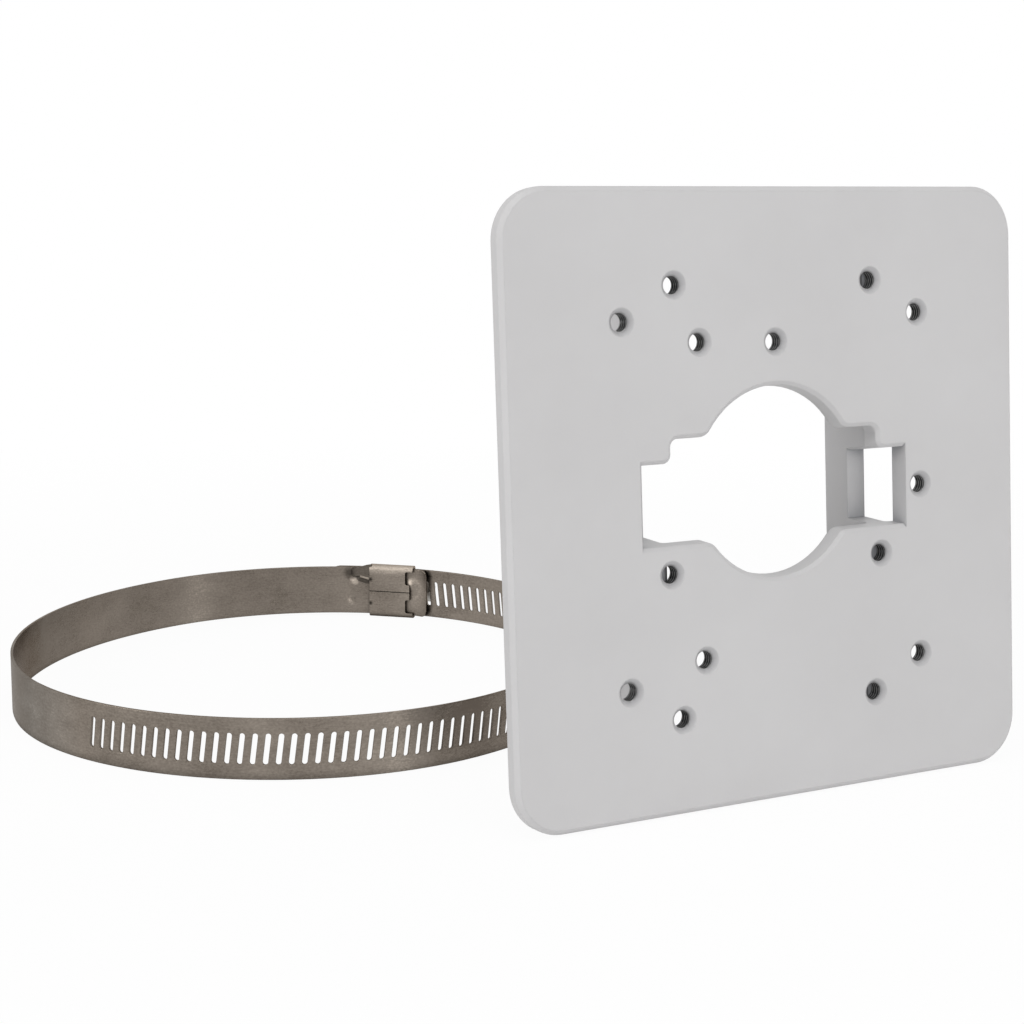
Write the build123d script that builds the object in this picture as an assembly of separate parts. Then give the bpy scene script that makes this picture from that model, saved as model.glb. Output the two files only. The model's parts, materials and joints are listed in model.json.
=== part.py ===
# Pole mount adapter: a cast mount plate that leans on its two rear ribs, and the
# slotted worm-drive clamp that straps it to a pole, lying open beside it.
#
# Frame: +Z up, the plate faces -Y, the floor is Z = 0, and the origin is the
# middle of the bottom of the box round plate and clamp together. Millimetres.
import os
from math import atan2, cos, degrees, pi, radians, sin

from build123d import *

# Mount plate
PLATE_WIDTH = 140.5
PLATE_HEIGHT = 140.0
PLATE_THICKNESS = 4.5
PLATE_CORNER = 11.5
PLATE_FRONT_CHAMFER = 1.1
PLATE_BACK_CHAMFER = 1.0

# Central opening: a round cable hole with a stepped wing to each side
OPENING_RADIUS = 22.0
OPENING_RAISE = 3.45
WING_REACH = 36.8
WING_BOTTOM = -9.2
WING_TOP = 9.3
LEDGE_REACH = 28.6
LEDGE_TOP = 14.7
WING_CORNER = 2.0
WING_BLEND = 3.5
OPENING_CHAMFER = 0.8
OPENING_DRAFT = 5.0

# Rear ribs, which seat on the pole and carry the clamp band
RIB_SPACING = 58.0
RIB_THICKNESS = 5.1
RIB_DEPTH = 16.2
RIB_END_INSET = 1.55
RIB_ROOT_ROUND = 1.2
BAND_WINDOW_DEPTH = 7.8

# Tapped holes, all the same size
TAP_RADIUS = 2.25
DISH_RADIUS = 3.2
DISH_DEPTH = 1.2
SQUARE_PITCH = 81.4
GANG_WIDTH = 54.1
GANG_HEIGHT = 96.9
WIDE_TRIO_RADIUS = 41.2
NARROW_TRIO_RADIUS = 33.8
NARROW_TRIO_RAISE = 1.35

# Clamp loop, seen from above: an oval of tangent arcs, housing at its pointed end
LOOP_CENTRE_X = -59.1
LOOP_CENTRE_Y = 142.3
LOOP_TURN = 49.5
LOOP_HALF_LENGTH = 86.3
LOOP_HALF_WIDTH = 77.9
LOOP_JOIN_TURN = 56.0
BAND_WIDTH = 15.0
BAND_THICKNESS = 0.7
BAND_OVERLAP_GAP = 0.06
TONGUE_LENGTH = 5.0
TONGUE_CORNER = 2.0
TAIL_LENGTH = 12.0
TAIL_CORNER = 5.0

# Slots across the band that the worm drives in
SLOT_START = 229.6
SLOT_PITCH = 3.07
SLOT_LENGTH = 7.8
SLOT_WIDTH = 1.3
SLOT_SLANT = 7.0
SLOT_END_MARGIN = 6.0

# Clamp housing, folded from strip
HOUSING_LENGTH = 14.2
HOUSING_WALL = 0.8
HOUSING_CLEARANCE = 0.08
HOUSING_BEND = 1.5
SEAM_GAP = 0.25
NOTCH_DEPTH = 2.4
NOTCH_WIDTH = 4.3
SEAM_TAB_WIDTH = 4.8
SEAM_TAB_RECESS = 1.0
NOTCH_CORNER = 0.6

# Worm screw
WORM_RADIUS = 4.2
WORM_CORE_RADIUS = 3.3
WORM_CLEARANCE = 0.25
NECK_RADIUS = 2.5
NECK_FIT = 0.06
HEAD_ACROSS_FLATS = 7.0
HEAD_HEIGHT = 4.6
HEAD_STANDOFF = 0.3
HEAD_CHAMFER = 0.5
SCREW_END_PLAY = 0.15
SCREW_TIP = 0.6
DRIVE_SLOT_WIDTH = 1.2
DRIVE_SLOT_DEPTH = 1.6

# Sizes that follow from those above
# The plate rests on the front of its back chamfer and on the lower corners of both ribs.
HALF_HEIGHT = PLATE_HEIGHT / 2
LEAN_ANGLE = atan2(RIB_END_INSET, RIB_DEPTH + PLATE_BACK_CHAMFER)
REST_LIFT = (PLATE_THICKNESS - PLATE_BACK_CHAMFER) * sin(LEAN_ANGLE)

# Four arcs make the loop; the end arcs give way to the side arcs at the join.
JOIN_ANGLE = radians(LOOP_JOIN_TURN)
ARC_SPREAD = (LOOP_HALF_LENGTH - LOOP_HALF_WIDTH) / (sin(JOIN_ANGLE) + cos(JOIN_ANGLE) - 1)
END_OFFSET = ARC_SPREAD * cos(JOIN_ANGLE)
SIDE_OFFSET = ARC_SPREAD * sin(JOIN_ANGLE)
LOOP_END_RADIUS = LOOP_HALF_LENGTH - END_OFFSET
LOOP_SIDE_RADIUS = LOOP_HALF_WIDTH + SIDE_OFFSET

HOUSING_HALF_ANGLE = HOUSING_LENGTH / 2 / LOOP_END_RADIUS
TONGUE_ANGLE = HOUSING_HALF_ANGLE + TONGUE_LENGTH / LOOP_END_RADIUS
TAIL_ANGLE = HOUSING_HALF_ANGLE + TAIL_LENGTH / LOOP_END_RADIUS
OVERLAP_GROWTH = (BAND_THICKNESS + BAND_OVERLAP_GAP) / (1 - cos(JOIN_ANGLE - TONGUE_ANGLE))
BAND_STACK = BAND_THICKNESS + OVERLAP_GROWTH * (1 - cos(JOIN_ANGLE + HOUSING_HALF_ANGLE))

CHANNEL_INNER = LOOP_END_RADIUS * cos(HOUSING_HALF_ANGLE) - HOUSING_CLEARANCE
CHANNEL_OUTER = LOOP_END_RADIUS + BAND_STACK + HOUSING_CLEARANCE
SCREW_REACH = CHANNEL_OUTER + WORM_CORE_RADIUS + WORM_CLEARANCE
TUNNEL_RADIUS = WORM_RADIUS + WORM_CLEARANCE
HOUSING_DROP = HOUSING_CLEARANCE + HOUSING_WALL
LOOP_TILT = degrees(atan2(HOUSING_DROP, 2 * LOOP_HALF_LENGTH + BAND_THICKNESS - HOUSING_DROP))


def hole_places():
    """Centres of all tapped holes, from the middle of the plate."""
    places = [(x * SQUARE_PITCH / 2, y * SQUARE_PITCH / 2) for x in (-1, 1) for y in (-1, 1)]
    places += [(x * GANG_WIDTH / 2, y * GANG_HEIGHT / 2) for x in (-1, 1) for y in (-1, 1)]
    for turn in (0, 120, 240):
        angle = radians(turn)
        places.append((WIDE_TRIO_RADIUS * cos(angle), WIDE_TRIO_RADIUS * sin(angle)))
    for turn in (90, 210, 330):
        angle = radians(turn)
        raised = NARROW_TRIO_RADIUS * sin(angle) + NARROW_TRIO_RAISE
        places.append((NARROW_TRIO_RADIUS * cos(angle), raised))
    return places


def opening_outline():
    """The opening as seen from the front: round hole, upper ledges and outer wings."""
    wing_height = WING_TOP - WING_BOTTOM
    ledge_height = LEDGE_TOP - WING_BOTTOM
    wings = Pos(0, (WING_TOP + WING_BOTTOM) / 2) * Rectangle(2 * WING_REACH, wing_height)
    ledge = Pos(0, (LEDGE_TOP + WING_BOTTOM) / 2) * Rectangle(2 * LEDGE_REACH, ledge_height)
    stepped = wings + ledge
    steps = [v for v in stepped.vertices() if abs(abs(v.X) - LEDGE_REACH) < 0.01 and v.Y > 0]
    stepped = fillet(steps, WING_CORNER)
    outline = stepped + Pos(0, OPENING_RAISE) * Circle(OPENING_RADIUS)
    joins = [v for v in outline.vertices() if abs(v.X) < OPENING_RADIUS]
    return fillet(joins, WING_BLEND)


def rib(side):
    """One upright rib behind the plate; side is -1 for the left one and 1 for the right."""
    height = PLATE_HEIGHT - 2 * RIB_END_INSET
    middle = side * (RIB_SPACING + RIB_THICKNESS) / 2
    depth = PLATE_THICKNESS + RIB_DEPTH
    return Pos(middle, 0, -depth / 2) * Box(RIB_THICKNESS, height, depth)


def make_mount_plate():
    """The casting, built with its front face up and then stood on its resting edge."""
    outline = RectangleRounded(PLATE_WIDTH, PLATE_HEIGHT, PLATE_CORNER)
    body = extrude(outline, amount=-PLATE_THICKNESS)
    body = chamfer(body.faces().sort_by(Axis.Z)[-1].edges(), PLATE_FRONT_CHAMFER)
    body = chamfer(body.faces().sort_by(Axis.Z)[0].edges(), PLATE_BACK_CHAMFER)
    body += rib(-1) + rib(1)
    roots = [
        edge
        for edge in body.edges().filter_by(Axis.Y)
        if abs(edge.center().Z + PLATE_THICKNESS) < 0.01 and abs(edge.center().X) < RIB_SPACING
    ]
    body = fillet(roots, RIB_ROOT_ROUND)

    window_depth = PLATE_THICKNESS + BAND_WINDOW_DEPTH
    body -= extrude(opening_outline(), amount=-window_depth, taper=OPENING_DRAFT)
    rim = [
        edge
        for edge in body.faces().sort_by(Axis.Z)[-1].edges()
        if abs(edge.center().X) < WING_REACH - WING_CORNER and abs(edge.center().Y) < PLATE_HEIGHT / 4
    ]
    body = chamfer(rim, OPENING_CHAMFER)
    for x, y in hole_places():
        body -= Pos(x, y, -PLATE_THICKNESS / 2) * Cylinder(TAP_RADIUS, PLATE_THICKNESS)
        dish = Cone(TAP_RADIUS, DISH_RADIUS, DISH_DEPTH)
        body -= Pos(x, y, -DISH_DEPTH / 2) * dish
    stand = Pos(0, 0, REST_LIFT) * Rot(X=90 - degrees(LEAN_ANGLE)) * Pos(0, HALF_HEIGHT, 0)
    return stand * body


def band_arcs():
    """The strip's inner line: arcs as centre x, centre y, radius, start and end in radians."""
    join = JOIN_ANGLE
    grown = LOOP_END_RADIUS + OVERLAP_GROWTH
    last_x = END_OFFSET - OVERLAP_GROWTH * cos(join)
    last_y = OVERLAP_GROWTH * sin(join)
    return [
        (END_OFFSET, 0, LOOP_END_RADIUS, -TONGUE_ANGLE, join),
        (0, -SIDE_OFFSET, LOOP_SIDE_RADIUS, join, pi - join),
        (-END_OFFSET, 0, LOOP_END_RADIUS, pi - join, pi + join),
        (0, SIDE_OFFSET, LOOP_SIDE_RADIUS, pi + join, 2 * pi - join),
        (last_x, last_y, grown, -join, TAIL_ANGLE),
    ]


def on_band(distance):
    """Point and outward angle on the strip at a distance from the middle of the housing."""
    left = distance + TONGUE_ANGLE * LOOP_END_RADIUS
    for x, y, radius, start, end in band_arcs():
        length = radius * (end - start)
        if left <= length or end == TAIL_ANGLE:
            angle = start + left / radius
            return x + radius * cos(angle), y + radius * sin(angle), angle
        left -= length


def band_length():
    """Length of the strip from the middle of the housing to the end of its tail."""
    whole = sum(radius * (end - start) for _, _, radius, start, end in band_arcs())
    return whole - TONGUE_ANGLE * LOOP_END_RADIUS


def strip_outline():
    """The strip seen on edge, from the tongue round the loop to the tail."""
    inner = []
    outer = []
    for x, y, radius, start, end in band_arcs():
        sweep = degrees(end - start)
        inner.append(CenterArc((x, y), radius, degrees(start), sweep))
        outer.append(CenterArc((x, y), radius + BAND_THICKNESS, degrees(start), sweep))
    caps = [Line(inner[0] @ 0, outer[0] @ 0), Line(inner[-1] @ 1, outer[-1] @ 1)]
    return make_face(inner + outer + caps)


def face_on_band(distance):
    """Plane on the strip's inner face: x along the strip, y up, z outward."""
    x, y, angle = on_band(distance)
    return Plane(
        origin=(x, y, BAND_WIDTH / 2),
        x_dir=(-sin(angle), cos(angle), 0),
        z_dir=(cos(angle), sin(angle), 0),
    )


def end_waste(distance, direction, radius):
    """What rounding takes off a strip end; direction is 1 at the tail and -1 at the tongue."""
    zone = Rectangle(2 * radius, 2 * BAND_WIDTH)
    kept = Pos(-2 * direction * radius, 0) * RectangleRounded(4 * radius, BAND_WIDTH, radius)
    waste = Pos(0, 0, -BAND_THICKNESS / 2) * (zone - kept)
    return extrude(face_on_band(distance) * waste, amount=2 * BAND_THICKNESS)


def slot_cutter(distance, inward):
    """One slanted slot, cut from a little inside the strip to well outside it."""
    outline = Rot(Z=-SLOT_SLANT) * Rectangle(SLOT_WIDTH, SLOT_LENGTH)
    placed = face_on_band(distance) * Pos(0, 0, -inward) * outline
    return extrude(placed, amount=2 * BAND_THICKNESS + inward)


def make_clamp_band():
    """The slotted strip: plain end with its tongue, open loop, slotted end with its tail."""
    band = extrude(strip_outline(), amount=BAND_WIDTH)
    tail_end = band_length()
    overlap_start = tail_end - (TAIL_ANGLE + TONGUE_ANGLE) * LOOP_END_RADIUS - SLOT_PITCH
    cutters = []
    distance = SLOT_START
    while distance < tail_end - SLOT_END_MARGIN:
        inward = BAND_OVERLAP_GAP / 2 if distance > overlap_start else BAND_THICKNESS
        cutters.append(slot_cutter(distance, inward))
        distance += SLOT_PITCH
    band -= cutters
    band -= end_waste(-TONGUE_ANGLE * LOOP_END_RADIUS, -1, TONGUE_CORNER)
    band -= end_waste(tail_end, 1, TAIL_CORNER)
    return clamp_place() * band


def clamp_place():
    """From the clamp's own axes, housing towards +X, to where the loop lies on the floor."""
    far_side = LOOP_HALF_LENGTH + BAND_THICKNESS
    lift = far_side * sin(radians(LOOP_TILT))
    return Pos(LOOP_CENTRE_X, LOOP_CENTRE_Y, lift) * Rot(Z=LOOP_TURN) * Rot(Y=-LOOP_TILT)


def along_screw(radius, start, end):
    """A round bar on the screw's axis between two stations along it."""
    bar = Cylinder(radius, end - start)
    return Pos(SCREW_REACH, (start + end) / 2, BAND_WIDTH / 2) * Rot(X=-90) * bar


def make_clamp_housing():
    """Folded tunnel over the worm, its legs wrapped round the strip to meet in a seam."""
    half = HOUSING_LENGTH / 2
    wall = HOUSING_WALL
    centre = Pos((CHANNEL_INNER + CHANNEL_OUTER) / 2, BAND_WIDTH / 2)
    depth = CHANNEL_OUTER - CHANNEL_INNER
    height = BAND_WIDTH + 2 * HOUSING_CLEARANCE
    wrap = RectangleRounded(depth + 2 * wall, height + 2 * wall, HOUSING_BEND)
    outer = extrude(Plane.XZ * centre * wrap, amount=half, both=True)
    hollow = extrude(Plane.XZ * centre * Rectangle(depth, height), amount=HOUSING_LENGTH, both=True)
    body = outer + along_screw(TUNNEL_RADIUS + wall, -half, half)
    body -= along_screw(TUNNEL_RADIUS, wall - half, half - wall)
    body -= along_screw(NECK_RADIUS + NECK_FIT, -HOUSING_LENGTH, HOUSING_LENGTH)
    body -= hollow

    leg = CHANNEL_INNER - wall / 2
    body -= Pos(leg, 0, BAND_WIDTH / 2) * Box(2 * wall, 2 * HOUSING_LENGTH, SEAM_GAP)
    body -= Pos(leg, -half, BAND_WIDTH / 2) * Box(2 * wall, 2 * SEAM_TAB_RECESS, SEAM_TAB_WIDTH)
    for side in (-1, 1):
        middle = BAND_WIDTH / 2 + side * (SEAM_TAB_WIDTH + NOTCH_WIDTH) / 2
        outline = RectangleRounded(2 * NOTCH_DEPTH, NOTCH_WIDTH, NOTCH_CORNER)
        notch = extrude(Plane.YZ * outline, amount=wall, both=True)
        body -= Pos(leg, -half, middle) * notch
    return clamp_place() * Pos(END_OFFSET, 0, 0) * body


def make_worm_screw():
    """Slotted hex head, neck, core and tip in one turned piece, without its fine thread."""
    half = HOUSING_LENGTH / 2
    shoulder = half - HOUSING_WALL - SCREW_END_PLAY
    head_seat = -half - HEAD_STANDOFF
    head_face = head_seat - HEAD_HEIGHT
    screw = along_screw(WORM_CORE_RADIUS, -shoulder, shoulder)
    screw += along_screw(NECK_RADIUS, head_seat, half + SCREW_TIP)

    hexagon = Rot(X=-90) * extrude(RegularPolygon(HEAD_ACROSS_FLATS / 2, 6, False), HEAD_HEIGHT)
    corner = HEAD_ACROSS_FLATS / 2 / cos(pi / 6)
    crown = Rot(X=-90) * Cone(corner, corner + HEAD_HEIGHT - HEAD_CHAMFER, HEAD_HEIGHT)
    at_head = Pos(SCREW_REACH, (head_seat + head_face) / 2, BAND_WIDTH / 2)
    head = (Pos(0, -HEAD_HEIGHT / 2, 0) * hexagon) & crown
    head -= Pos(0, -HEAD_HEIGHT / 2, 0) * Box(
        DRIVE_SLOT_WIDTH, 2 * DRIVE_SLOT_DEPTH, 2 * HEAD_ACROSS_FLATS
    )
    screw += at_head * head
    return clamp_place() * Pos(END_OFFSET, 0, 0) * screw


solids = {
    "mount_plate": make_mount_plate(),
    "clamp_band": make_clamp_band(),
    "clamp_housing": make_clamp_housing(),
    "worm_screw": make_worm_screw(),
}
whole = Compound(list(solids.values())).bounding_box()
to_origin = Pos(-whole.center().X, -whole.center().Y, -whole.min.Z)

os.makedirs("parts", exist_ok=True)
for node, solid in solids.items():
    export_step(to_origin * solid, f"parts/{node}.step")
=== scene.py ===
import json
from math import atan2, ceil, cos, exp, pi, radians, sin, sqrt

import bmesh
import bpy
from mathutils import Matrix, Vector
from mathutils.geometry import tessellate_polygon


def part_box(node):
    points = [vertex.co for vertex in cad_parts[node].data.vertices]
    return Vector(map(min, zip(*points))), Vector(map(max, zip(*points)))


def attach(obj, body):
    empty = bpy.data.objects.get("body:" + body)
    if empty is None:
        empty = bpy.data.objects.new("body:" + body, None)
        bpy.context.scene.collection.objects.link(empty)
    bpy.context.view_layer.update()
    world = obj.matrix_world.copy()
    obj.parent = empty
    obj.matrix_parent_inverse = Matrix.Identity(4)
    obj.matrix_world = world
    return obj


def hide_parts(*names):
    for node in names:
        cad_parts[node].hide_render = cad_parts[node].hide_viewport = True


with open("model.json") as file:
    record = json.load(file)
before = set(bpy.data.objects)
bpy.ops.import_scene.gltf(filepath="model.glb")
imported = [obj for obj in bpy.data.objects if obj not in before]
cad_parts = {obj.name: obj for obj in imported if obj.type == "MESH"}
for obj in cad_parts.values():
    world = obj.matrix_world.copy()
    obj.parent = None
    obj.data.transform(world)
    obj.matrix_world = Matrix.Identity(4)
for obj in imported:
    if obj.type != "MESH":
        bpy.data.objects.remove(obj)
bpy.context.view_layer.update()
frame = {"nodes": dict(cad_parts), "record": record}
MM = 0.001

# The photograph's view: the camera's place is measured from the floor below the
# middle of the plate's front bottom edge
CAMERA_OFFSET = Vector((-268.70, -360.84, 145.92)) * MM
CAMERA_YAW = radians(28.526)
CAMERA_PITCH = radians(10.085)
CAMERA_ROLL = radians(0.571)
FOCAL_PIXELS = 2004.7
PHOTO_PIXELS = 1024
SENSOR_MM = 36.0
CLIP_START = 0.01
ACROSS = Vector((cos(CAMERA_YAW), -sin(CAMERA_YAW), 0))
AHEAD = Vector((sin(CAMERA_YAW), cos(CAMERA_YAW), 0))

# The clamp's strip, in millimetres and with the sizes of the part's source
LOOP_TURN = radians(49.5)
LOOP_HALF_LENGTH = 86.3
LOOP_HALF_WIDTH = 77.9
LOOP_JOIN = radians(56.0)
STRIP_WIDTH = 15.0
STRIP_THICKNESS = 0.7
OVERLAP_GAP = 0.06
HOUSING_HALF = 7.1
HOUSING_DROP = 0.88
TONGUE_LENGTH = 5.0
TONGUE_CORNER = 2.0
TAIL_LENGTH = 12.0
TAIL_CORNER = 5.0
SLOT_START = 229.6
SLOT_PITCH = 3.07
SLOT_LENGTH = 7.8
SLOT_WIDTH = 1.3
SLOT_SLANT = radians(7.0)
SLOT_END_MARGIN = 6.0
SLOT_END_STEPS = 6
PRESSED_LENGTH = 29.0
GRID_STEP = 0.4
PLAIN_STEP = 2.6
TAIL_ROWS = 2
WELD_DISTANCE = 0.002
SHARP_ANGLE = radians(35)

# Marks pressed into the strip: distance from the tongue's end, height, reach along,
# reach up and depth towards the middle of the loop
PRESSED_MARKS = (
    (5.2, 9.8, 1.7, 1.5, 0.75),
    (23.9, 10.3, 1.5, 1.3, 0.7),
    (25.2, 3.6, 1.2, 1.2, 0.5),
    (25.2, 6.8, 1.1, 4.0, 0.4),
)
TONGUE_CURL = 1.3

# Painted highlights and painted shade on the steel: distance from the tongue's end, height, how
# far in front of the strip's inner face, reach and strength. The highlights light the tongue's
# curved face and two pressed marks; the shade falls beside the ear's left end and in two small
# notches at the wrap's edge
PAINTED_HIGHLIGHTS = (
    (2.5, 7.5, 0.0, 7.5, 0.22),
    (23.9, 10.5, 0.0, 1.6, 0.6),
    (25.2, 3.7, 0.0, 1.5, 0.25),
)
PAINTED_SHADE_SPOTS = (
    (25.8, 13.2, 0.0, 2.4, 0.6),
    (18.9, 11.3, 0.9, 0.9, 0.8),
    (18.9, 3.6, 0.9, 0.9, 0.8),
)

# The share of a spot's reach over which it keeps its full strength
SPOT_CORE = 0.3

# Painted light and shade round the strip: how much lighter or darker at a distance in millimetres
# from the loop's middle across the camera's view, on the outer and on the inner side
LIGHT_AND_SHADE_REACH = 90
OUTER_LIGHT_AND_SHADE = (
    (-72, 0.2), (-54, 0.0), (17, 0.0), (29, 0.3), (38, 0.0), (48, -0.3), (66, 0.0)
)
INNER_LIGHT_AND_SHADE = (
    (-82, -0.2), (-76, -0.1), (-69, 0.0), (-50, 0.0),
    (-40, 0.12), (-32, 0.0), (-20, -0.06), (0, 0.0),
)

# Where a painted cooler light turns the steel cooler to the left: start, end and share on the
# outer and on the inner side. The outer side's painted light and shade, and its cooling, fade out
# over FRONT_RANGE, going away from the camera
OUTER_COOL_LIGHT = (-48, -66, 1.0)
INNER_COOL_LIGHT = (-70, -80, 0.6)
COOL_LIGHT_TINT = (1.0, 1.09, 1.18)
FRONT_RANGE = (-20, 5)

# The steel of the strip and the housing
STEEL_DARK = (0.125, 0.104, 0.086)
STEEL_PALE = (0.26, 0.226, 0.192)
# The brightest steel colour is a painted glint, this many times the pale steel
STEEL_GLINT = 1.7
STEEL_SOFTNESS = 0.25 * MM
# Painted shade: the steel darkens in creases and gaps within this reach
CREVICE_SHADE_REACH = 3.2 * MM
EDGE_TINT = (0.5, 0.46, 0.43, 1)
HOUSING_TINT = 1.08
# A painted highlight just below the housing's top bend: the heights over which it rises, and its
# strength
HOUSING_BEND = (13.4, 15.6)
HOUSING_BEND_LIGHT = 0.42

# A small ear of the housing on the strip's top edge: its steel painted a little darker as shade,
# a thin lip along its lower edge painted bright as a highlight, and a dark fold below it painted
# in shade. Name and tint of the steel, thickness, and the corners as distance from the tongue's
# end and height
EAR_GAP = 0.02
EAR_PLATES = (
    ("ear_shaded_steel", 0.66, 0.6, (
        (18.6, 11.4), (22.2, 12.3), (24.8, 12.1), (25.0, 14.5),
        (22.3, 15.2), (20.4, 15.8), (18.6, 16.1),
    )),
    ("ear_lip_highlight", 1.7, 0.7, (
        (18.6, 10.8), (20.5, 11.4), (22.4, 11.9), (22.3, 12.4), (20.5, 12.0), (18.6, 11.5),
    )),
    ("ear_fold_shade", 0.4, 0.3, (
        (18.6, 9.9), (20.5, 9.8), (23.0, 10.8), (23.6, 11.9), (22.2, 12.4), (18.6, 11.5),
    )),
)

# The plate's paint. The recess colour and reach give painted shade: the paint turns darker and
# cooler where the plate is closed in, such as its pockets
PAINT_DARK = (0.545, 0.538, 0.541)
PAINT_PALE = (0.572, 0.566, 0.569)
RECESS_SHADE_TINT = (0.6, 0.615, 0.64)
RECESS_SHADE_REACH = 14.0 * MM
EDGE_SOFTNESS = 0.5 * MM

# Stage, in metres: the floor turns plain white between the two fades
FLOOR_SIZE = 8.0
FLOOR_DROP = -0.0002
FLOOR_GLOW = 0.95
FADE_START = 0.16
FADE_END = 0.5
SKY_LIGHT = 0.48

# Lamps: name, place, target, size and power
LAMPS = (
    ("left", (-1.5, 0.0, 0.5), (0.0, 0.0, 0.05), (0.8, 0.6), 8.5),
    ("front", (0.15, -1.5, 0.3), (0.0, 0.0, 0.05), (1.2, 0.6), 7.0),
    ("top", (-0.05, -0.35, 1.1), (-0.02, -0.15, 0.0), (0.8, 0.6), 3.2),
)

# The cut thread in the plate's holes. A face nearer the middle than THREAD_CREST of the thread's
# height is bright, painted as lit, and the thread's other faces are painted dark as shade
THREAD_PITCH = 0.8 * MM
THREAD_HEIGHT = 0.2 * MM
THREAD_SEAT = 0.015 * MM
THREAD_SEGMENTS = 32
THREAD_STEPS_PER_TURN = 8
THREAD_CREST = 0.7
THREAD_LIT_AND_SHADED = (("thread_root_shade", 0.035, 0.06), ("thread_crest_light", 0.3, 0.5))

# Where the first hole of each round pattern stands, in degrees
HOLE_TURNS = {"square_pattern": 45, "wide_trio": 0, "narrow_trio": 90}


def make_camera():
    """The camera at the photograph's viewing angle."""
    forward = AHEAD * cos(CAMERA_PITCH) - Vector((0, 0, 1)) * sin(CAMERA_PITCH)
    upward = ACROSS.cross(forward)
    right = ACROSS * cos(CAMERA_ROLL) + upward * sin(CAMERA_ROLL)
    up = upward * cos(CAMERA_ROLL) - ACROSS * sin(CAMERA_ROLL)
    data = bpy.data.cameras.new("photo_camera")
    data.sensor_width = SENSOR_MM
    data.lens = SENSOR_MM * FOCAL_PIXELS / PHOTO_PIXELS
    data.clip_start = CLIP_START
    camera = bpy.data.objects.new("photo_camera", data)
    low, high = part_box("mount_plate")
    foot = Vector(((low[0] + high[0]) / 2, low[1], 0))
    axes = Matrix((right, up, -forward)).transposed().to_4x4()
    camera.matrix_world = Matrix.Translation(foot + CAMERA_OFFSET) @ axes
    bpy.context.scene.collection.objects.link(camera)
    bpy.context.scene.camera = camera


class Nodes:
    """A short way to write a material's node tree."""

    def __init__(self, name):
        self.material = bpy.data.materials.new(name)
        self.material.use_nodes = True
        self.tree = self.material.node_tree
        self.shader = self.tree.nodes["Principled BSDF"]
        self.output = self.tree.nodes["Material Output"]

    def add(self, kind, inputs=None, **settings):
        node = self.tree.nodes.new(kind)
        for key, value in settings.items():
            setattr(node, key, value)
        for key, value in (inputs or {}).items():
            self.put(node.inputs[key], value)
        return node

    def put(self, socket, value):
        if isinstance(value, bpy.types.NodeSocket):
            self.tree.links.new(value, socket)
        elif isinstance(value, bpy.types.Node):
            self.tree.links.new(value.outputs[0], socket)
        else:
            socket.default_value = value

    def place(self):
        return self.add("ShaderNodeTexCoord").outputs["Object"]

    def math(self, operation, first, second=0.0):
        return self.add("ShaderNodeMath", {0: first, 1: second}, operation=operation)

    def vector(self, operation, first, second=(0, 0, 0)):
        return self.add("ShaderNodeVectorMath", {0: first, 1: second}, operation=operation)

    def value(self, operation, first, second=(0, 0, 0)):
        """A number worked out from one or two vectors."""
        return self.vector(operation, first, second).outputs["Value"]

    def soft_edges(self, radius, samples):
        return self.add("ShaderNodeBevel", {"Radius": radius}, samples=samples)

    def openness(self, reach, **settings):
        """1 on open faces, falling towards 0 in recesses and gaps."""
        inputs = {"Distance": reach}
        return self.add("ShaderNodeAmbientOcclusion", inputs, samples=8, **settings).outputs["AO"]

    def noise(self, scale, detail=3.0, roughness=0.5, vector=None):
        inputs = {"Scale": scale, "Detail": detail, "Roughness": roughness}
        inputs["Vector"] = self.place() if vector is None else vector
        return self.add("ShaderNodeTexNoise", inputs).outputs["Fac"]

    def ramp(self, factor, stops):
        node = self.add("ShaderNodeValToRGB", {"Fac": factor})
        elements = node.color_ramp.elements
        while len(elements) < len(stops):
            elements.new(0.5)
        for element, (position, colour) in zip(elements, stops):
            element.position = position
            element.color = (*colour, 1)
        return node.outputs["Color"]

    def spread(self, factor, low, high, to_low, to_high):
        inputs = {0: factor, 1: low, 2: high, 3: to_low, 4: to_high}
        return self.add("ShaderNodeMapRange", inputs).outputs[0]

    def bump(self, height, strength, distance, normal=None):
        inputs = {"Height": height, "Strength": strength, "Distance": distance}
        if normal:
            inputs["Normal"] = normal
        return self.add("ShaderNodeBump", inputs).outputs["Normal"]

    def finish(self, **sockets):
        for name, value in sockets.items():
            self.put(self.shader.inputs[name.replace("_", " ")], value)
        return self.material


def plate_paint():
    """Pale grey satin powder coat with a faint cloudiness and a fine orange peel, and painted
    shade that darkens and cools it in the plate's recesses.
    """
    n = Nodes("plate_paint")
    colour = n.ramp(n.noise(26.0, 4.0, 0.6), [(0.3, PAINT_DARK), (0.7, PAINT_PALE)])
    # Painted shade: darker, cooler paint where the plate is closed in
    recess = n.openness(RECESS_SHADE_REACH, only_local=True)
    shade = n.ramp(recess, [(0.45, RECESS_SHADE_TINT), (0.8, (1.0, 1.0, 1.0))])
    colour = n.vector("MULTIPLY", colour, shade)
    sheen = n.spread(n.noise(90.0), 0.3, 0.7, 0.42, 0.5)
    peel = n.bump(n.noise(1500.0, 2.0), 0.12, 0.0001, n.soft_edges(EDGE_SOFTNESS, 6))
    return n.finish(Base_Color=colour, Roughness=sheen, Specular_IOR_Level=0.22, Normal=peel)


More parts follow.
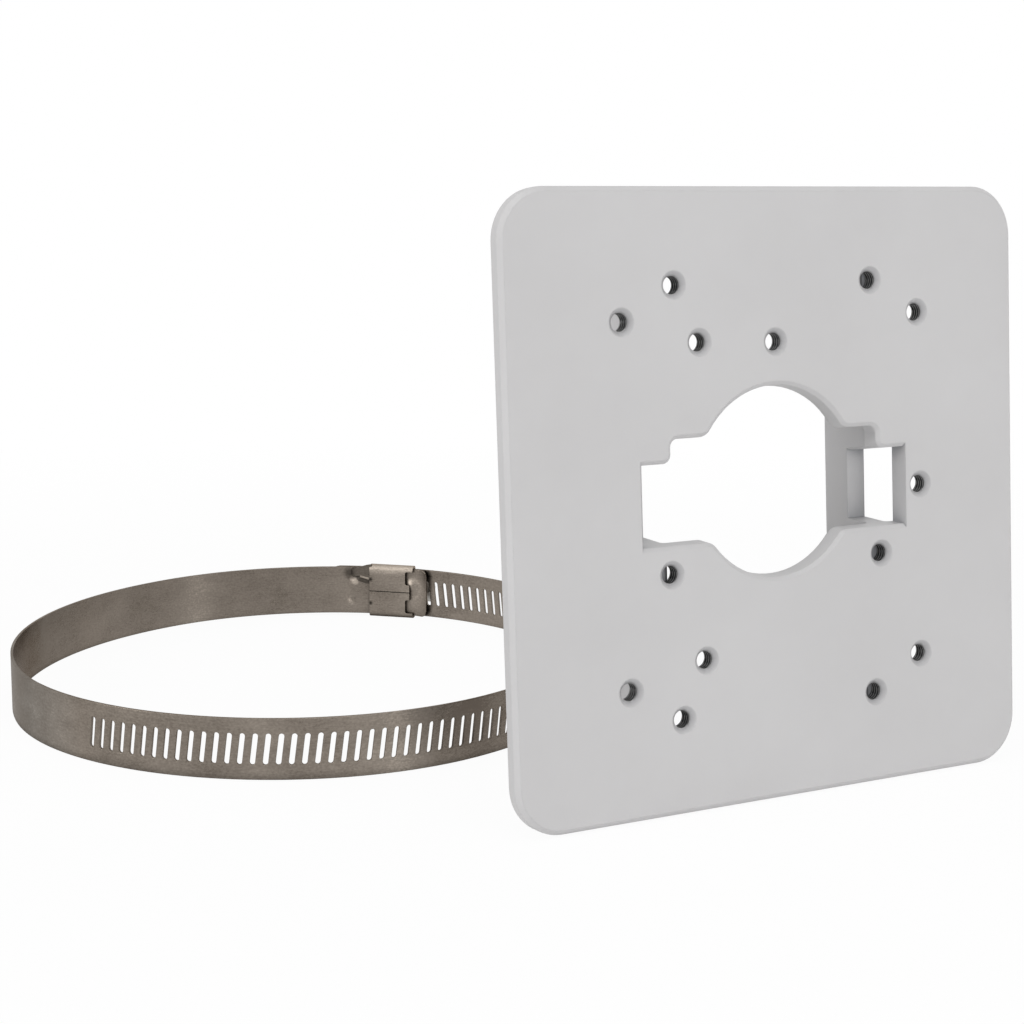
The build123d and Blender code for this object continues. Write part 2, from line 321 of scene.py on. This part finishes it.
def along_loop(n):
    """Coordinates along the strip, the distance across the photograph, and how far a
    point is on the loop's inner side and on its front half, both from 0 to 1."""
    low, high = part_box("clamp_band")
    centre = (low + high) / 2
    centre.z = 0
    away = n.vector("SUBTRACT", n.place(), centre)
    split = n.add("ShaderNodeSeparateXYZ", {0: away})
    angle = n.math("ARCTAN2", split.outputs[1], split.outputs[0])
    round_it = n.math("MULTIPLY", angle, (high.x - low.x) / 2)
    length = n.value("LENGTH", away)
    strip = n.add("ShaderNodeCombineXYZ", {0: round_it, 1: split.outputs[2], 2: length})
    facing = n.value("DOT_PRODUCT", away, n.add("ShaderNodeNewGeometry").outputs["Normal"])
    inside = n.math("LESS_THAN", facing, 0.0)
    deep = n.value("DOT_PRODUCT", away, AHEAD)
    front = n.spread(deep, FRONT_RANGE[0] * MM, FRONT_RANGE[1] * MM, 1.0, 0.0)
    return strip, n.value("DOT_PRODUCT", away, ACROSS), inside, front


def stretched_noise(n, strip, along, across, detail=3.0, roughness=0.5):
    vector = n.vector("MULTIPLY", strip, (along, across, across))
    return n.noise(1.0, detail, roughness, vector)


def by_side(n, inside, outer, inner):
    """One value on the loop's outer side and another on its inner side."""
    return n.add("ShaderNodeMix", {0: inside, 2: outer, 3: inner})


def spots(n, places, value, operation):
    """A value made larger or smaller at spots of the strip, to paint highlights and shade."""
    strip = Strip()
    for distance, height, inward, reach, strength in places:
        away = n.value("DISTANCE", n.place(), strip.point(distance, height, -inward))
        near = n.spread(away, reach * MM, SPOT_CORE * reach * MM, 0.0, 1.0)
        value = n.math(operation, value, n.math("MULTIPLY", near, strength))
    return value


def painted_light_and_shade(n, across, stops):
    """Painted light and shade: soft lighter and darker stretches over the distance from the
    loop's middle.
    """
    factor = n.spread(across, -LIGHT_AND_SHADE_REACH * MM, LIGHT_AND_SHADE_REACH * MM, 0.0, 1.0)
    greys = [((at / LIGHT_AND_SHADE_REACH + 1) / 2, (0.5 + gain,) * 3) for at, gain in stops]
    return n.math("SUBTRACT", n.ramp(factor, greys), 0.5)


# Painted cooler light: how far the steel turns cooler over a stretch across the camera's view
def cool_light(n, across, cool_range):
    start, end, share = cool_range
    return n.spread(across, start * MM, end * MM, 0.0, share)


def strip_steel(name, tint_and_shade=1.0, bend_light=0.0):
    """Warm grey stainless strip, rolled lengthwise, mottled and a little uneven, with painted
    light and shade: lighter and darker stretches round the loop, highlights, shade in creases and
    a cooler light towards the left.
    """
    n = Nodes(name)
    strip, across, inside, front = along_loop(n)
    mottle = stretched_noise(n, strip, 90.0, 160.0)
    streaks = stretched_noise(n, strip, 260.0, 4200.0, roughness=0.55)
    specks = stretched_noise(n, strip, 1500.0, 2100.0, 2.0, 0.6)
    bands = stretched_noise(n, strip, 42.0, 0.0, 2.0)
    mix = n.math("ADD", n.math("MULTIPLY", mottle, 0.4), n.math("MULTIPLY", streaks, 0.3))
    mix = n.math("ADD", mix, n.spread(specks, 0.25, 0.75, 0.0, 0.3))
    mix = n.math("ADD", mix, n.spread(bands, 0.3, 0.7, -0.12, 0.12))
    # Painted light and shade round the loop, on the outer side only over its front half
    outer = n.math("MULTIPLY", front, painted_light_and_shade(n, across, OUTER_LIGHT_AND_SHADE))
    mix = n.math("ADD", mix, by_side(n, inside, outer, painted_light_and_shade(n, across, INNER_LIGHT_AND_SHADE)))
    height = n.add("ShaderNodeSeparateXYZ", {0: strip}).outputs[1]
    # Painted highlight below the housing's top bend
    bend_highlight = n.spread(height, HOUSING_BEND[0] * MM, HOUSING_BEND[1] * MM, 0.0, bend_light)
    # Painted highlights at spots of the strip
    mix = spots(n, PAINTED_HIGHLIGHTS, n.math("ADD", mix, bend_highlight), "ADD")
    dark = tuple(tint_and_shade * c for c in STEEL_DARK)
    pale = tuple(tint_and_shade * c for c in STEEL_PALE)
    glint = tuple(STEEL_GLINT * c for c in pale)
    colour = n.ramp(mix, [(0.2, dark), (0.7, pale), (1.0, glint)])
    # Painted shade in creases and gaps, deepened at the painted shade spots
    shade = n.spread(n.openness(CREVICE_SHADE_REACH), 0.25, 0.85, 0.25, 1.0)
    colour = n.vector("MULTIPLY", colour, spots(n, PAINTED_SHADE_SPOTS, shade, "SUBTRACT"))
    # Painted cooler light towards the left, on the outer side only over its front half
    outer = n.math("MULTIPLY", front, cool_light(n, across, OUTER_COOL_LIGHT))
    cool = by_side(n, inside, outer, cool_light(n, across, INNER_COOL_LIGHT))
    cool = n.ramp(cool, [(0.0, (1.0, 1.0, 1.0)), (1.0, COOL_LIGHT_TINT)])
    return n.finish(
        Base_Color=n.vector("MULTIPLY", colour, cool),
        Metallic=1.0,
        Roughness=n.spread(mix, 0.3, 0.7, 0.26, 0.42),
        Specular_Tint=EDGE_TINT,
        Normal=n.bump(streaks, 0.15, 0.00005, n.soft_edges(STEEL_SOFTNESS, 4)),
    )


def turned_steel():
    """Plain grey turned stainless for the screw."""
    n = Nodes("screw_steel")
    grain = n.noise(2400.0, 2.0)
    colour = n.ramp(n.noise(160.0), [(0.3, (0.3, 0.29, 0.27)), (0.7, (0.42, 0.41, 0.39))])
    return n.finish(
        Base_Color=colour, Metallic=1.0, Roughness=0.3, Normal=n.bump(grain, 0.1, 0.00003)
    )


def thread_metal(name, dark, pale):
    """Cut, slightly greasy aluminium inside the tapped holes; a dark copy paints shade in the
    thread's roots and a pale copy paints light on its crests.
    """
    n = Nodes(name)
    colour = n.ramp(n.noise(700.0), [(0.3, (dark, dark, dark)), (0.7, (pale, pale, pale))])
    return n.finish(Base_Color=colour, Metallic=0.4, Roughness=0.5, Specular_IOR_Level=0.2)


def paint_nodes():
    materials = {
        "mount_plate": plate_paint(),
        "clamp_band": strip_steel("band_steel"),
        "clamp_housing": strip_steel("housing_steel", HOUSING_TINT, HOUSING_BEND_LIGHT),
        "worm_screw": turned_steel(),
    }
    for name, material in materials.items():
        mesh = frame["nodes"][name].data
        mesh.materials.clear()
        mesh.materials.append(material)
    return materials


def new_piece(name, points, faces, materials, looks=None):
    """A mesh piece that rides on the adapter's body. It is smooth unless looks names a
    material for each face."""
    mesh = bpy.data.meshes.new(name)
    mesh.from_pydata(points, [], faces)
    mesh.validate()
    for material in materials:
        mesh.materials.append(material)
    mesh.polygons.foreach_set("use_smooth", [looks is None] * len(mesh.polygons))
    if looks:
        mesh.polygons.foreach_set("material_index", looks)
    piece = bpy.data.objects.new(name, mesh)
    bpy.context.scene.collection.objects.link(piece)
    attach(piece, "adapter")
    return piece


def mounts():
    return {mount["name"]: mount for mount in frame["record"]["mounts"]}


def hole_centres():
    """Middle of each tapped hole's bore in the row frame, from the record's mounts."""
    known = mounts()
    outward = Vector(known["square_pattern"]["axis"])
    across = Vector((1, 0, 0))
    upward = across.cross(outward)
    if upward.z < 0:
        upward.negate()
    places = [Vector(m["pos_m"]) for m in known.values() if m["kind"] == "threaded_hole"]
    for name in HOLE_TURNS:
        middle = Vector(known[name]["pos_m"])
        reach = known[name]["dims"]["pcd_mm"] * MM / 2
        count = known[name]["dims"]["count"]
        for k in range(count):
            turn = radians(HOLE_TURNS[name]) + 2 * pi * k / count
            places.append(middle + reach * (cos(turn) * across + sin(turn) * upward))
    return places, outward, across, upward


def loop_arcs():
    """The strip's inner line from its tongue to its tail: centre, radius, start and end."""
    spread = (LOOP_HALF_LENGTH - LOOP_HALF_WIDTH) / (sin(LOOP_JOIN) + cos(LOOP_JOIN) - 1)
    across = spread * cos(LOOP_JOIN)
    along = spread * sin(LOOP_JOIN)
    end = LOOP_HALF_LENGTH - across
    side = LOOP_HALF_WIDTH + along
    tongue = (HOUSING_HALF + TONGUE_LENGTH) / end
    tail = (HOUSING_HALF + TAIL_LENGTH) / end
    growth = (STRIP_THICKNESS + OVERLAP_GAP) / (1 - cos(LOOP_JOIN - tongue))
    last_x = across - growth * cos(LOOP_JOIN)
    last_y = growth * sin(LOOP_JOIN)
    return [
        (across, 0, end, -tongue, LOOP_JOIN),
        (0, -along, side, LOOP_JOIN, pi - LOOP_JOIN),
        (-across, 0, end, pi - LOOP_JOIN, pi + LOOP_JOIN),
        (0, along, side, pi + LOOP_JOIN, 2 * pi - LOOP_JOIN),
        (last_x, last_y, end + growth, -LOOP_JOIN, tail),
    ]


def strip_length():
    return sum(radius * (end - start) for _, _, radius, start, end in loop_arcs())


def clamp_place():
    """From the clamp's own axes, housing towards +X, to where the loop lies in the frame."""
    far_side = LOOP_HALF_LENGTH + STRIP_THICKNESS
    tilt = atan2(HOUSING_DROP, LOOP_HALF_LENGTH + far_side - HOUSING_DROP)
    centre = Vector(mounts()["clamp_loop"]["pos_m"])
    centre.z = far_side * sin(tilt) * MM
    turned = Matrix.Rotation(LOOP_TURN, 4, "Z") @ Matrix.Rotation(-tilt, 4, "Y")
    return Matrix.Translation(centre) @ turned @ Matrix.Scale(MM, 4)


def pressed(distance, height):
    """How far the strip is pushed towards the middle of the loop at a point on it."""
    push = TONGUE_CURL * max(0.0, 1 - distance / TONGUE_LENGTH) ** 2
    for along, up, reach_along, reach_up, depth in PRESSED_MARKS:
        off = ((distance - along) / reach_along) ** 2 + ((height - up) / reach_up) ** 2
        push += depth * exp(-off)
    return push


class Strip:
    """The strip's mesh, built from flat patches of (distance, height) points."""

    def __init__(self):
        self.points = []
        self.faces = []
        self.place = clamp_place()
        self.arcs = loop_arcs()

    def point(self, distance, height, outward):
        left = distance
        for x, y, radius, start, end in self.arcs:
            length = radius * (end - start)
            if left <= length or (x, y, radius, start, end) == self.arcs[-1]:
                break
            left -= length
        angle = start + left / radius
        reach = radius + outward - pressed(distance, height)
        return self.place @ Vector((x + reach * cos(angle), y + reach * sin(angle), height))

    def skin(self, patch, faces):
        """Both sides of the strip over one flat patch."""
        for outward, turned in ((0, False), (STRIP_THICKNESS, True)):
            base = len(self.points)
            self.points += [self.point(s, h, outward) for s, h in patch]
            for face in faces:
                order = tuple(reversed(face)) if turned else face
                self.faces.append(tuple(base + i for i in order))

    def wall(self, line):
        """The cut edge that joins both sides along a line of points."""
        base = len(self.points)
        for s, h in line:
            self.points += [self.point(s, h, 0), self.point(s, h, STRIP_THICKNESS)]
        for k in range(len(line) - 1):
            a = base + 2 * k
            self.faces.append((a, a + 1, a + 3, a + 2))

    def grid(self, along, rows, corner_start=0.0, corner_end=0.0):
        """A stretch without slots; its first or last corners may be rounded."""
        first, last = along[0], along[-1]
        patch = []
        for s in along:
            cut = max(round_off(s - first, corner_start), round_off(last - s, corner_end))
            for k in range(rows + 1):
                patch.append((s, cut + (STRIP_WIDTH - 2 * cut) * k / rows))
        count = rows + 1
        faces = []
        for i in range(len(along) - 1):
            for k in range(rows):
                a = i * count + k
                faces.append((a, a + 1, a + count + 1, a + count))
        self.skin(patch, faces)
        self.wall(patch[::count])
        self.wall(patch[rows::count])
        if corner_start:
            self.wall(patch[:count])
        if corner_end:
            self.wall(patch[-count:])

    def slotted_cell(self, middle):
        """One pitch of the strip with its slanted, round-ended slot."""
        half = SLOT_PITCH / 2
        frame_line = [(middle - half, 0), (middle + half, 0)]
        frame_line += [(middle + half, STRIP_WIDTH), (middle - half, STRIP_WIDTH)]
        slot = []
        straight = (SLOT_LENGTH - SLOT_WIDTH) / 2
        for end in (1, -1):
            for step in range(SLOT_END_STEPS + 1):
                angle = pi * step / SLOT_END_STEPS
                x = end * SLOT_WIDTH / 2 * cos(angle)
                y = end * (straight + SLOT_WIDTH / 2 * sin(angle))
                along = x * cos(SLOT_SLANT) + y * sin(SLOT_SLANT)
                up = y * cos(SLOT_SLANT) - x * sin(SLOT_SLANT)
                slot.append((middle + along, STRIP_WIDTH / 2 + up))
        flat = [[Vector((s, h, 0)) for s, h in line] for line in (frame_line, slot)]
        self.skin(frame_line + slot, tessellate_polygon(flat))
        self.wall(frame_line[:2])
        self.wall(frame_line[2:])
        self.wall(slot + slot[:1])


def round_off(distance, corner):
    """How much a rounded corner takes off the strip's edge at a distance from its end."""
    if distance >= corner:
        return 0.0
    return corner - sqrt(corner ** 2 - (corner - distance) ** 2)


def stations(start, end, step):
    count = max(1, ceil((end - start) / step))
    return [start + (end - start) * k / count for k in range(count + 1)]


def make_strip(material):
    """The strip with round-ended slots and pressed marks, in place of the plain solid."""
    strip = Strip()
    length = strip_length()
    rows = ceil(STRIP_WIDTH / GRID_STEP)
    strip.grid(stations(0, PRESSED_LENGTH, GRID_STEP), rows, corner_start=TONGUE_CORNER)
    first = SLOT_START + HOUSING_HALF + TONGUE_LENGTH
    count = ceil((length - SLOT_END_MARGIN - first) / SLOT_PITCH)
    strip.grid(stations(PRESSED_LENGTH, first - SLOT_PITCH / 2, PLAIN_STEP), 1)
    for k in range(count):
        strip.slotted_cell(first + k * SLOT_PITCH)
    tail = stations(first + (count - 0.5) * SLOT_PITCH, length, GRID_STEP)
    strip.grid(tail, TAIL_ROWS, corner_end=TAIL_CORNER)
    piece = new_piece("band_strip", strip.points, strip.faces, [material])
    welded = bmesh.new()
    welded.from_mesh(piece.data)
    bmesh.ops.remove_doubles(welded, verts=welded.verts, dist=WELD_DISTANCE * MM)
    bmesh.ops.recalc_face_normals(welded, faces=welded.faces)
    welded.to_mesh(piece.data)
    welded.free()
    piece.data.set_sharp_from_angle(angle=SHARP_ANGLE)
    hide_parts("clamp_band")


def make_ear():
    """The ear beside the wrap: three small plates on the strip's inner face, a body painted
    darker as shade, a lip painted bright as a highlight and a fold painted dark as shade.
    """
    strip = Strip()
    points, faces, looks, materials = [], [], [], []
    for look, (name, tint_and_shade, thickness, corners) in enumerate(EAR_PLATES):
        materials.append(strip_steel(name, tint_and_shade))
        base, count = len(points), len(corners)
        for inward in (EAR_GAP, thickness):
            points += [strip.point(s, h, -inward) for s, h in corners]
        faces.append(tuple(range(base, base + count)))
        faces.append(tuple(reversed(range(base + count, base + 2 * count))))
        for k in range(count):
            a, b = base + k, base + (k + 1) % count
            faces.append((a, a + count, b + count, b))
        looks += [look] * (count + 2)
    new_piece("housing_ear", points, faces, materials, looks)


def make_threads(paint):
    """A cut thread in each tapped hole: a ridged sleeve behind a painted lip."""
    materials = [paint] + [thread_metal(*look) for look in THREAD_LIT_AND_SHADED]
    places, outward, across, upward = hole_centres()
    bore = mounts()["gang_hole_upper_left"]["dims"]
    root = bore["r_mm"] * MM - THREAD_SEAT
    length = bore["length_mm"] * MM
    rows = int(length / THREAD_PITCH * THREAD_STEPS_PER_TURN)
    faces = ring_faces(rows + 1, THREAD_SEGMENTS)
    for number, centre in enumerate(places, 1):
        points, ridge = [], []
        for row in range(-1, rows + 1):
            depth = length * (max(row, 0) / rows - 0.5)
            for k in range(THREAD_SEGMENTS):
                turn = 2 * pi * k / THREAD_SEGMENTS
                phase = (depth / THREAD_PITCH - k / THREAD_SEGMENTS) % 1.0
                ridge.append(1 - abs(2 * phase - 1) if row > 0 else row + 1)
                radius = root - THREAD_HEIGHT * ridge[-1]
                ring = across * cos(turn) + upward * sin(turn)
                points.append(centre + ring * radius - outward * depth)
        looks = [0] * THREAD_SEGMENTS
        # Crest faces take the lit copy and the others the shaded copy: painted light and shade
        for face in faces[THREAD_SEGMENTS:]:
            reach = sum(ridge[k] for k in face) / len(face)
            looks.append(2 if reach > THREAD_CREST else 1)
        new_piece(f"thread_{number:02d}", points, faces, materials, looks)


def ring_faces(rows, segments):
    """Quads between stacked rings of points."""
    faces = []
    for row in range(rows):
        for k in range(segments):
            a = row * segments + k
            b = row * segments + (k + 1) % segments
            faces.append((a, b, b + segments, a + segments))
    return faces


def seen_rays(tree):
    """1 where the camera, a mirror or a clear body looks, and 0 where light is gathered."""
    path = tree.nodes.new("ShaderNodeLightPath")
    seen = path.outputs["Is Camera Ray"]
    for other in ("Is Glossy Ray", "Is Transmission Ray"):
        either = tree.nodes.new("ShaderNodeMath")
        either.operation = "MAXIMUM"
        tree.links.new(seen, either.inputs[0])
        tree.links.new(path.outputs[other], either.inputs[1])
        seen = either.outputs[0]
    return seen


def make_floor():
    """A white floor that keeps a faint shadow near the part and fades out round it."""
    bpy.ops.mesh.primitive_plane_add(size=FLOOR_SIZE, location=(0, 0, FLOOR_DROP))
    floor = bpy.context.object
    floor.name = "floor"
    n = Nodes("floor")
    n.finish(Base_Color=(0.9, 0.9, 0.9, 1), Roughness=0.9, Specular_IOR_Level=0.0)
    white = n.spread(n.value("LENGTH", n.place()), FADE_START, FADE_END, FLOOR_GLOW, 1.0)
    share = n.math("MULTIPLY", seen_rays(n.tree), white)
    glow = n.add("ShaderNodeEmission", {"Color": (1, 1, 1, 1), "Strength": 1.0})
    mix = n.add("ShaderNodeMixShader", {0: share, 1: n.shader.outputs[0], 2: glow})
    n.put(n.output.inputs[0], mix)
    floor.data.materials.append(n.material)


def make_world():
    """White all round for the camera and for mirrors, and a soft even light."""
    world = bpy.data.worlds.new("studio")
    bpy.context.scene.world = world
    world.use_nodes = True
    tree = world.node_tree
    tree.nodes.clear()
    mix = tree.nodes.new("ShaderNodeMixShader")
    tree.links.new(seen_rays(tree), mix.inputs[0])
    for socket, strength in ((1, SKY_LIGHT), (2, 1.0)):
        plain = tree.nodes.new("ShaderNodeBackground")
        plain.inputs["Color"].default_value = (1, 1, 1, 1)
        plain.inputs["Strength"].default_value = strength
        tree.links.new(plain.outputs[0], mix.inputs[socket])
    output = tree.nodes.new("ShaderNodeOutputWorld")
    tree.links.new(mix.outputs[0], output.inputs[0])


def make_lamp(name, place, target, size, power):
    data = bpy.data.lights.new(name, "AREA")
    data.shape = "RECTANGLE"
    data.size, data.size_y = size
    data.energy = power
    lamp = bpy.data.objects.new(name, data)
    lamp.location = place
    lamp.rotation_euler = (Vector(target) - Vector(place)).to_track_quat("-Z", "Y").to_euler()
    bpy.context.scene.collection.objects.link(lamp)


make_camera()
make_world()
make_floor()
for lamp in LAMPS:
    make_lamp(*lamp)
materials = paint_nodes()
make_strip(materials["clamp_band"])
make_ear()
make_threads(materials["mount_plate"])

bpy.context.scene.view_settings.view_transform = "Standard"
